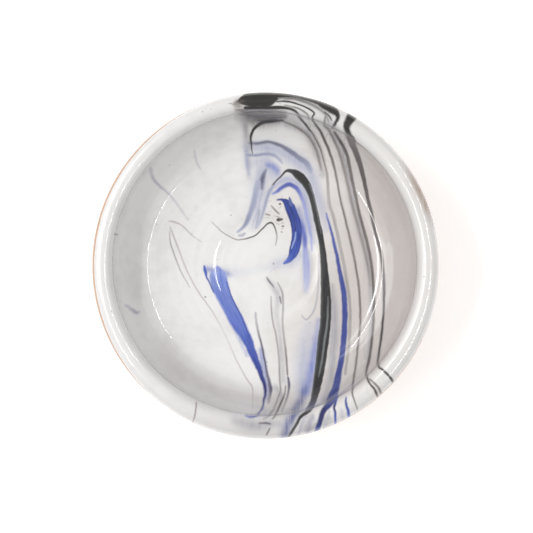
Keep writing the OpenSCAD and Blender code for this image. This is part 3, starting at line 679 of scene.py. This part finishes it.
# Right blue vein: a long thin vein of cobalt slip to the right of the black one. It widens down the dish
# and forks on the near lip.
DEEP_BLUES = [(0.0, shade(150, 160, 212)), (0.3, shade(98, 112, 184)), (0.6, shade(56, 70, 146)),
              (0.8, shade(44, 56, 128)), (1.0, shade(30, 34, 92))]
colour = lay(colour, vein("blue_right", [
    [(17.9, 15.6, 0.4, 0.3), (18.7, 12.7, 0.6, 0.4), (19.6, 9.5, 0.75, 0.45), (20.4, 6.3, 0.9, 0.5),
     (21.1, 3, 1.0, 0.55), (21.7, -0.5, 1.15, 0.58), (22.5, -4.5, 1.4, 0.6), (23.2, -8.5, 1.6, 0.6),
     (23.5, -14, 1.65, 0.62), (23.3, -20, 1.65, 0.64), (22.7, -26, 1.65, 0.65), (21.7, -31, 1.75, 0.68),
     (20.5, -36, 2.1, 0.68), (19.5, -38, 2.2, 0.7), (18.2, -39.9, 1.7, 0.78), (16.8, -41.4, 1.5, 0.95),
     (16, -43, 1.5, 1), (15.5, -45.2, 1.4, 0.9), (14.9, -47.2, 1.4, 0.6), (14.4, -49.6, 1.4, 0.5)]],
    soft=0.32, wavy=0.45, reach=1.0), DEEP_BLUES, streak=0.4)
colour = lay(colour, vein("blue_right_fork", [
    [(20.6, -37.6, 0.6, 0.6), (19.9, -39.8, 0.7, 0.9), (19.6, -40.8, 0.7, 1), (19.9, -42.2, 0.7, 0.75),
     (20, -44, 0.7, 0.45), (20.1, -46.5, 0.6, 0.3)]], soft=0.3, wavy=0.4), BLUES)
colour = lay(colour, vein("blue_right_tail", [
    [(23.1, -37.8, 0.4, 0.6), (23, -39, 0.6, 0.8), (23.3, -40.5, 0.7, 0.7), (23.7, -42, 0.9, 0.45),
     (24.2, -45, 1.0, 0.35)]], soft=0.3, wavy=0.4), BLUES)

# Blue arch: a paler blue slip that curls over the hook, and the stripe that runs down beside it.
# The white slip thinned it, so it is soft and streaky.
PALE_BLUES = [(0.0, shade(206, 208, 226)), (0.35, shade(160, 166, 214)), (0.65, shade(104, 116, 190)),
              (1.0, shade(62, 74, 150))]
colour = lay(colour, vein("arch_stripe", [
    [(9.8, 14, 0.9, 0.5), (10.6, 12, 1.3, 0.62), (11.2, 10, 1.4, 0.66), (11.6, 8, 1.4, 0.64),
     (11.7, 6, 1.3, 0.55), (11.8, 4, 1.7, 0.3), (12.1, 0, 1.9, 0.24), (12.2, -4, 1.7, 0.18),
     (11.9, -7.2, 1.0, 0.05)]], soft=0.45, wavy=0.6), PALE_BLUES, streak=0.5)
colour = lay(colour, vein("arch_main", [
    [(1.9, 21.2, 0.5, 0.4), (3.4, 22, 0.9, 0.65), (5, 23.3, 1.15, 0.75), (6.9, 24.1, 1.3, 0.8),
     (8.9, 23.2, 1.2, 0.72), (10.2, 21.4, 1.1, 0.55), (11, 19.2, 1.0, 0.4), (11.7, 16.6, 0.9, 0.35),
     (12.4, 13.7, 0.8, 0.35), (13.1, 10.3, 0.8, 0.35), (13.6, 7, 0.7, 0.3), (13.8, 4.5, 0.5, 0.2)]],
    soft=0.35, wavy=0.5), PALE_BLUES, streak=0.4)

# Cobalt hook: the deep blue hook in the middle, where the cobalt slip was thickest. It is streaky, with
# a darker rim where the colour gathered, a short spur at its top and a light line inside it.
hook = vein("hook", [
    [(3.3, 19.5, 0.3, 0.9), (4.4, 19.6, 0.6, 0.95), (5.3, 19.3, 1.1, 0.9), (6.2, 18.7, 2.0, 0.8),
     (7.2, 17.3, 3.0, 0.8), (8, 15.4, 3.1, 0.85), (8.7, 13.4, 3.0, 0.85), (9.2, 11, 3.0, 0.8),
     (9.2, 8.6, 2.9, 0.75), (8.9, 6.4, 3.0, 0.7), (8.4, 4.4, 2.9, 0.7), (7.8, 2.8, 2.2, 0.65),
     (6.8, 1.6, 1.4, 0.5), (5.4, 0.7, 0.7, 0.3)]], wavy=0.5, reach=1.4)
colour = lay(colour, hook, [(0.0, shade(150, 165, 222)), (0.4, shade(92, 116, 198)),
                            (0.7, shade(48, 74, 166)), (1.0, shade(26, 40, 112))], streak=0.9)
rim = (abs(hook.side) / hook.half).rise(0.62, 0.98) * hook.mask
colour = colour.coated(shade(26, 38, 104), rim * 0.55)
colour = lay(colour, vein("hook_spur", [
    [(7, 20.3, 0.4, 0.9), (7.3, 19.2, 0.9, 0.8), (7.6, 18, 1.2, 0.8)],
    [(8.9, 10, 0.3, 0.1), (8.7, 8, 0.4, 0.05), (8.2, 6.5, 0.4, 0.05), (7.7, 5, 0.3, 0.1)]]),
    [(0.0, shade(160, 178, 228)), (1.0, shade(34, 52, 136))])

# Great black vein: the widest vein. It starts as a thread, arches over the middle and runs down to the
# near lip, dark all through, with a thin greyish streak along one edge and pale threads of the white
# drawn out beside it and over the near lip.
THINNEST = 0.1
black = vein("black", [
    [(2.1, 24, 0.4, 0.55), (3.3, 25.3, 0.4, 0.8), (4.8, 26.8, 0.5, 0.85), (6.1, 28.1, 0.8, 0.8),
     (7.8, 28, 1.4, 0.85), (9.5, 27, 2.5, 0.95), (11.8, 24.6, 2.4, 0.95), (13.3, 21.4, 1.75, 0.9),
     (14.2, 18, 1.65, 0.85), (15.1, 14, 1.7, 0.9), (16, 10, 1.7, 0.95), (16.7, 6, 1.75, 0.95),
     (17.2, 2, 1.9, 1), (17.5, -2, 2.2, 1), (17.7, -6, 2.7, 1), (17.9, -11, 3.1, 1), (17.7, -17, 3.2, 1),
     (17.1, -22, 3.2, 1), (16.4, -28, 3.05, 1), (15.6, -33, 2.75, 1), (14.5, -38, 2.0, 1),
     (13.4, -40.5, 1.5, 1), (12, -42, 1.1, 0.95), (10, -43.5, 0.9, 0.9), (9.1, -45.2, 0.8, 0.8),
     (8.2, -46.6, 0.8, 0.7), (7.3, -48, 0.8, 0.65), (6.4, -49.6, 0.8, 0.6)]],
    soft=0.22, wavy=0.45, reach=1.4)
colour = lay(colour, black, [(0.0, shade(120, 124, 122)), (0.6, shade(84, 84, 86)),
                             (0.9, shade(42, 41, 44)), (1.0, shade(28, 27, 30))], streak=0.22)
share = black.side / black.half.at_least(THINNEST)
thin_edge = (0 - share).rise(0.45, 1.0) * black.mask * (0.5 + black.pulled * 0.6)
colour = colour.coated(shade(98, 103, 101), thin_edge * 0.75)
colour = lay(colour, vein("black_light", [
    [(18.5, -9, 0.25, 0.6), (18.4, -14, 0.5, 0.8), (18.1, -18, 0.6, 0.9), (17.5, -22, 0.6, 0.9),
     (16.8, -27, 0.55, 0.8), (16.1, -31, 0.45, 0.7), (15.6, -33, 0.3, 0.5)],
    [(12.8, 24.4, 0.4, 0.4), (14, 21.3, 0.45, 0.5), (14.8, 18, 0.4, 0.5), (15.6, 14, 0.35, 0.4),
     (16.4, 9.5, 0.3, 0.3)]],
    soft=0.2, wavy=0.35), [(0.0, shade(70, 72, 74)), (1.0, shade(134, 138, 138))], strength=0.75)
colour = lay(colour, vein("lip_threads", [
    [(11.6, -43.2, 0.5, 0.5), (10.6, -45.2, 0.7, 0.6), (9.8, -47.4, 0.7, 0.5), (9.2, -49.2, 0.6, 0.4)],
    [(17.9, -41.6, 0.4, 0.4), (17.7, -43.6, 0.5, 0.5), (17.3, -46, 0.5, 0.4), (17, -48, 0.4, 0.3)]],
    soft=0.7, wavy=1.8),
    [(0.0, shade(206, 206, 214)), (0.5, shade(168, 169, 184)), (1.0, shade(120, 124, 150))],
    streak=1.1, strength=0.75)
colour = lay(colour, vein("lip_threads_inner", [
    [(13.7, -42.8, 0.5, 0.5), (12.9, -45, 0.7, 0.6), (12.3, -47, 0.7, 0.5), (11.8, -49, 0.6, 0.4)],
    [(21.6, -41.2, 0.4, 0.3), (21.9, -43.4, 0.5, 0.35), (22.2, -45.6, 0.4, 0.2)]], soft=0.7, wavy=1.8),
    [(0.0, shade(206, 206, 214)), (0.5, shade(164, 165, 182)), (1.0, shade(110, 114, 146))],
    streak=1.1, strength=0.75)
colour = lay(colour, vein("black_threads", [
    [(19.9, -11, 0.2, 0.3), (20.2, -17, 0.3, 0.5), (19.9, -23, 0.3, 0.5), (19.2, -29, 0.3, 0.5),
     (18.4, -34, 0.25, 0.3)],
    [(15.7, 3.5, 0.4, 0.3), (15.7, -3, 0.5, 0.45), (15.3, -9, 0.5, 0.45), (14.2, -13.5, 0.55, 0.5),
     (12.3, -15.9, 0.5, 0.45), (11.3, -15.5, 0.4, 0.4), (10.6, -14.5, 0.3, 0.3)]],
    soft=0.22), [(0.0, shade(206, 204, 208)), (1.0, shade(160, 157, 165))])

# Rim pool: black slip that was poured on the far lip. It is thick there, thin and streaky where it ran
# over the inner edge, and it left a curl on the wall. A second blot lies to its right.
POOL = [(0.0, shade(134, 126, 120)), (0.55, shade(84, 78, 74)), (0.85, shade(44, 41, 39)),
        (1.0, shade(32, 30, 29))]
colour = wash(colour, "pool_haze", [
    [(-8.4, 43.6, 2, 0.4), (-5, 42.4, 3, 0.75), (-1, 41.9, 3, 0.7), (3, 42.2, 2.6, 0.7),
     (6.4, 42.6, 2, 0.5), (9.6, 41.6, 1.6, 0.4)],
    [(-5.6, 41.6, 1.6, 0.6), (-5.6, 39.6, 1.6, 0.5), (-5.3, 37, 1.4, 0.4)]], shade(128, 121, 118))
colour = lay(colour, vein("pool_smear", [
    [(-8.4, 44.8, 0.8, 0.4), (-5, 43.9, 2.2, 0.7), (-1, 43.5, 3.0, 0.78), (3, 43.6, 2.4, 0.7),
     (5.8, 43.6, 1.2, 0.5)],
    [(-8.9, 46.3, 1.6, 0.3), (-7.6, 46.5, 2.2, 0.4)]], soft=0.9, wavy=1.4, reach=1.4),
    [(0.0, shade(160, 152, 148)), (0.5, shade(104, 97, 93)), (1.0, shade(58, 53, 51))],
    streak=1.6, strength=0.92)
colour = lay(colour, vein("pool", [
    [(-7, 47.3, 2.4, 0.7), (-5, 47.7, 4.2, 0.95), (-2, 48, 4.8, 1), (0.8, 48, 4.4, 0.95),
     (3, 48.6, 2.6, 0.9), (5.5, 49, 1.4, 0.9), (9, 48.6, 1.1, 0.9), (13, 47.6, 1.2, 0.9),
     (16.5, 46.3, 2.2, 0.85), (19, 44.9, 2.4, 0.85), (20.7, 43.1, 1.5, 0.85), (20.2, 41.3, 0.9, 0.9),
     (19.4, 40, 0.6, 0.9)]], soft=0.35, wavy=0.9, reach=1.4), POOL, streak=0.75)
colour = lay(colour, vein("pool_blot", [
    [(25.9, 44.5, 3.2, 0.95), (24.6, 42.6, 2.9, 0.95), (23.5, 40.6, 2.3, 0.95), (23.5, 38.8, 1.7, 0.85),
     (24.3, 37.2, 1.5, 0.7)]], soft=0.4, wavy=0.9, reach=1.4), POOL, streak=0.6)
colour = lay(colour, vein("pool_lines", [
    [(-6, 45.3, 0.9, 0.9), (2, 45.4, 1.0, 0.9), (5, 45.4, 0.9, 0.85), (8, 44.7, 0.7, 0.85),
     (10, 43, 0.6, 0.85), (12, 41, 0.6, 0.8), (13.3, 39.4, 0.5, 0.7)],
    [(5.2, 42.6, 0.5, 0.7), (2, 42.4, 0.9, 0.95), (-0.5, 42.1, 0.95, 1), (-2.5, 41.2, 0.9, 1),
     (-3.8, 39.8, 0.8, 0.95), (-4.4, 38, 0.65, 0.9), (-4.3, 36, 0.5, 0.8), (-4.1, 34.2, 0.35, 0.6),
     (-3.9, 33.2, 0.25, 0.4)]], soft=0.22, wavy=0.35, reach=0.8), POOL)
colour = lay(colour, vein("pool_streaks", [
    [(3.6, 48, 0.5, 0.5), (8, 47.9, 0.6, 0.6), (12, 46.7, 0.6, 0.6), (15.4, 44.9, 0.6, 0.55),
     (17.4, 43.2, 0.5, 0.5), (18.1, 41.4, 0.4, 0.4)],
    [(5.2, 46.1, 0.4, 0.4), (8.6, 45.4, 0.5, 0.5), (11.4, 44, 0.5, 0.5), (12.6, 42.6, 0.4, 0.4)]],
    soft=0.3, wavy=0.6),
    [(0.0, shade(190, 186, 182)), (0.5, shade(140, 134, 130)), (1.0, shade(84, 78, 76))], streak=0.8)
colour = lay(colour, vein("pool_thread", [
    [(3, 47, 0.4, 0.9), (6, 47.2, 0.5, 0.9), (9, 46.4, 0.5, 0.9), (12, 45.2, 0.5, 0.9),
     (14, 43.8, 0.5, 0.9), (13.4, 42.8, 0.45, 0.9), (14, 41.8, 0.5, 0.9)],
    [(16.8, 44.2, 0.35, 0.7), (18.2, 43, 0.4, 0.7), (19, 41.6, 0.35, 0.7)]], soft=0.2, reach=0.6), POOL)

# Bare and thin places on the lip: the slip drew back from the widest part of the lip on the left and at
# the near right, so that the clay shows as a thin tan line, and it is thin and brown on the far right.
# A few tiny specks of iron lie in the white.
BARE_FROM = -24
BARE_LEFT = (172, 74, 64)
BARE_RIGHT = (318, 34, 46)
BARE_SOFT = 16
colour = wash(colour, "lip_brown", [
    [(48.9, 12, 2.4, 0.5), (47.9, 15.5, 3.6, 0.85), (46.2, 19.6, 4.2, 1), (44.2, 23.7, 4.2, 0.95),
     (41.8, 27.6, 3, 0.6), (39.8, 30.4, 2, 0.3)]], shade(150, 116, 92))


def stretch(middle_bearing, half_length, rise):
    """How far the bare clay rises over a stretch of the lip, all in degrees."""
    return rise * np.clip(1 - np.abs((bearing - middle_bearing) / half_length) ** 4, 0, 1)


radius = np.hypot(points[:, 0], points[:, 1])
bearing = np.degrees(np.arctan2(points[:, 1], points[:, 0])) % 360
half_lip = (LIP_W - LIP_SWELL * np.cos(np.radians(bearing) - LIP_THIN_SIDE)) / 2
climb = np.degrees(np.arctan2(points[:, 2] - (DISH_H - half_lip), radius - (DISH_R - half_lip)))
bare_to = BARE_FROM + stretch(*BARE_LEFT) + stretch(*BARE_RIGHT)
bare = np.clip((bare_to - climb) / BARE_SOFT + 0.5, 0, 1) * (radius > DISH_R - half_lip)
store("bare_edge", "FLOAT", bare)
bare_edge = place.node("Attribute", {"attribute_name": "bare_edge"}, output="Fac")
colour = colour.coated(shade(184, 134, 92), (bare_edge + (middle - 0.5) * 0.4).rise(0.25, 0.7))
specks = place.grain(1100, 0).rise(0.87, 0.9)
colour = colour.coated(shade(122, 108, 98), specks * 0.6)
ripple = place.grain(90, 2) + place.grain(350, 2) * 0.25
covered(slip, material, colour, ripple, strength=0.25, depth=0.0004)

# The table under the dish: plain white paper that keeps a faint shadow. A little light of its own
# makes it as white as the photo's background.
TABLE_SIDE = 6
bpy.ops.mesh.primitive_plane_add(size=TABLE_SIDE)
floor = bpy.context.object
floor.name = "studio_floor"
paper = bpy.data.materials.new("white_paper")
paper.use_nodes = True
sockets = paper.node_tree.nodes["Principled BSDF"].inputs
sockets["Base Color"].default_value = (0.95, 0.95, 0.95, 1)
sockets["Roughness"].default_value = 0.9
sockets["Specular IOR Level"].default_value = 0.0
sockets["Emission Color"].default_value = (1, 1, 1, 1)
sockets["Emission Strength"].default_value = 0.38
floor.data.materials.append(paper)

# The light of the studio: two long strip lamps, left and right of the camera, over a soft even light.
# The strips draw the fine lines on the lip, and a broad lamp on the left shades the wall beside it.
STRIP = (0.022, 0.5)
STRIP_POWER = 0.95
ROOM_LIGHT = 0.4


def lamp(name, spot, size, power):
    """A flat lamp of (width, length), turned about the level so that it faces the dish."""
    data = bpy.data.lights.new(name, "AREA")
    data.shape = "RECTANGLE"
    data.size, data.size_y = size
    data.energy = power
    item = bpy.data.objects.new(name, data)
    item.location = spot
    item.rotation_euler = (0, math.atan2(spot[0], spot[2]), 0)
    bpy.context.collection.objects.link(item)


lamp("strip_left", (-0.29, 0.02, 0.52), STRIP, STRIP_POWER)
lamp("strip_right", (0.29, -0.02, 0.52), STRIP, STRIP_POWER)
lamp("soft_left", (-0.75, 0.25, 0.75), (0.8, 0.8), 4.2)
world = bpy.data.worlds.new("studio")
world.use_nodes = True
sky = world.node_tree.nodes["Background"].inputs
sky["Color"].default_value = (1, 1, 1, 1)
sky["Strength"].default_value = ROOM_LIGHT

# The camera looks straight down from 60 cm over the table, as in the photo.
# It stands a hair to the side, so that the dish lies where the photo has it.
CAMERA_H = 0.603
CAMERA_SHIFT = 0.00024
LENS_MM = 135.4
SENSOR_MM = 36.0
camera_data = bpy.data.cameras.new("camera")
camera_data.sensor_width = SENSOR_MM
camera_data.lens = LENS_MM
camera = bpy.data.objects.new("camera", camera_data)
camera.location = (CAMERA_SHIFT, -CAMERA_SHIFT, CAMERA_H)
bpy.context.collection.objects.link(camera)
scene = bpy.context.scene
scene.world = world
scene.camera = camera
scene.view_settings.view_transform = "Standard"
